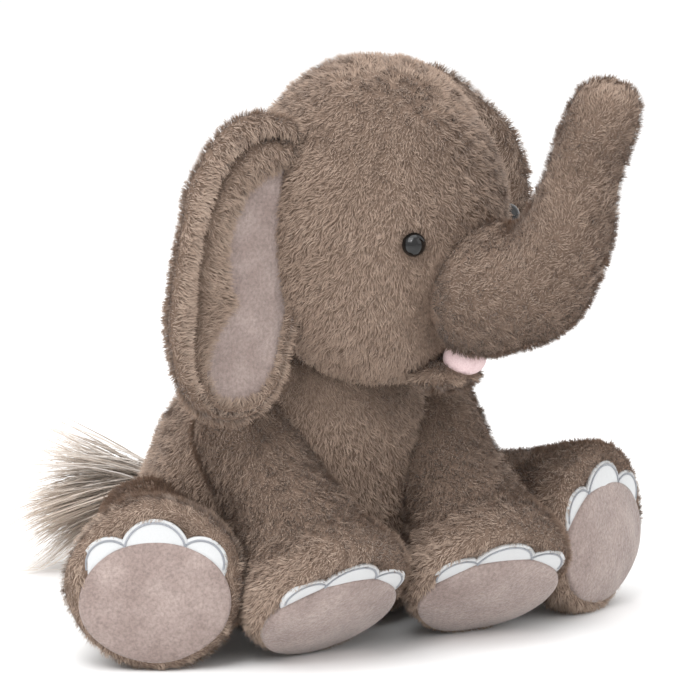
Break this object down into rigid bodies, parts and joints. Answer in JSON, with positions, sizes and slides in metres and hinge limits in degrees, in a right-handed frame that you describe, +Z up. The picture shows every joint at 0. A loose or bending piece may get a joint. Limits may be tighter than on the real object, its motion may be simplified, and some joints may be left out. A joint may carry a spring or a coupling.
{
  "type": "stuffed elephant",
  "caption": "Seated plush elephant in brown faux fur, head turned to its left, trunk raised, pale short-pile soles and ear linings, white satin toenails and a long-haired tail tuft.",
  "frame": {"origin": "on the floor, in the middle of the torso's flat seat", "axes": "the elephant faces -Y, its left side is +X, and +Z is up"},
  "size_m": [0.3206, 0.3601, 0.293],
  "materials": {
    "brown_fur": "matte",
    "short_pile": "matte",
    "white_satin": "satin",
    "mouth_cloth": "matte",
    "tail_hair": "satin",
    "safety_eye": "gloss",
    "lock_washer": "matte",
    "stuffing": "matte",
    "pouch_cloth": "matte",
    "pellets": "matte"
  },
  "bodies": {
    "torso": {"torso_cover": "brown_fur", "torso_stuffing": "stuffing", "pellet_pouch": "pouch_cloth", "weighting_pellets": "pellets"},
    "head": {"head_cover": "brown_fur", "head_stuffing": "stuffing", "lower_lip": "brown_fur", "mouth_lining": "mouth_cloth", "right_eye": "safety_eye", "left_eye": "safety_eye", "right_eye_washer": "lock_washer", "left_eye_washer": "lock_washer"},
    "trunk": {"trunk_cover": "brown_fur", "trunk_stuffing": "stuffing"},
    "right_ear": {"right_ear_back": "brown_fur", "right_ear_wadding": "stuffing", "right_ear_lining": "short_pile"},
    "left_ear": {"left_ear_back": "brown_fur", "left_ear_wadding": "stuffing", "left_ear_lining": "short_pile"},
    "right_front_leg": {"right_front_leg_cover": "brown_fur", "right_front_leg_stuffing": "stuffing", "right_front_sole": "short_pile", "right_front_toenails": "white_satin"},
    "right_hind_leg": {"right_hind_leg_cover": "brown_fur", "right_hind_leg_stuffing": "stuffing", "right_hind_sole": "short_pile", "right_hind_toenails": "white_satin"},
    "left_front_leg": {"left_front_leg_cover": "brown_fur", "left_front_leg_stuffing": "stuffing", "left_front_sole": "short_pile", "left_front_toenails": "white_satin"},
    "left_hind_leg": {"left_hind_leg_cover": "brown_fur", "left_hind_leg_stuffing": "stuffing", "left_hind_sole": "short_pile", "left_hind_toenails": "white_satin"},
    "tail": {"tail_stub": "brown_fur", "tail_tuft": "tail_hair"}
  },
  "joints": [
    {"name": "head_turn", "type": "hinge", "parent": "torso", "child": "head", "pos_m": [0.01, -0.065, 0.13], "axis": [0, 0, 1], "range_deg": [-12, 12], "stiffness_Nm_per_rad": 2.5},
    {"name": "trunk_bend", "type": "hinge", "parent": "head", "child": "trunk", "pos_m": [0.03588, -0.11579, 0.178], "axis": [-0.891, -0.454, 0], "range_deg": [-10, 12], "stiffness_Nm_per_rad": 2},
    {"name": "right_ear_flap", "type": "hinge", "parent": "head", "child": "right_ear", "pos_m": [-0.05652, -0.07982, 0.205], "axis": [0, 0, 1], "range_deg": [-12, 12], "stiffness_Nm_per_rad": 0.3},
    {"name": "left_ear_flap", "type": "hinge", "parent": "head", "child": "left_ear", "pos_m": [0.06109, -0.01989, 0.205], "axis": [0, 0, -1], "range_deg": [-12, 12], "stiffness_Nm_per_rad": 0.3},
    {"name": "right_front_leg_raise", "type": "hinge", "parent": "torso", "child": "right_front_leg", "pos_m": [-0.052, -0.042, 0.104], "axis": [-1, 0, 0], "range_deg": [0, 10], "stiffness_Nm_per_rad": 6},
    {"name": "right_hind_leg_splay", "type": "hinge", "parent": "torso", "child": "right_hind_leg", "pos_m": [-0.074, 0.006, 0.044], "axis": [0, 0, -1], "range_deg": [0, 14], "stiffness_Nm_per_rad": 4},
    {"name": "left_front_leg_raise", "type": "hinge", "parent": "torso", "child": "left_front_leg", "pos_m": [0.052, -0.042, 0.104], "axis": [-1, 0, 0], "range_deg": [0, 10], "stiffness_Nm_per_rad": 6},
    {"name": "left_hind_leg_splay", "type": "hinge", "parent": "torso", "child": "left_hind_leg", "pos_m": [0.074, 0.006, 0.044], "axis": [0, 0, 1], "range_deg": [0, 14], "stiffness_Nm_per_rad": 4},
    {"name": "tail_swing", "type": "hinge", "parent": "torso", "child": "tail", "pos_m": [-0.004, 0.082, 0.042], "axis": [0, 0, 1], "range_deg": [-15, 15], "stiffness_Nm_per_rad": 0.05}
  ]
}
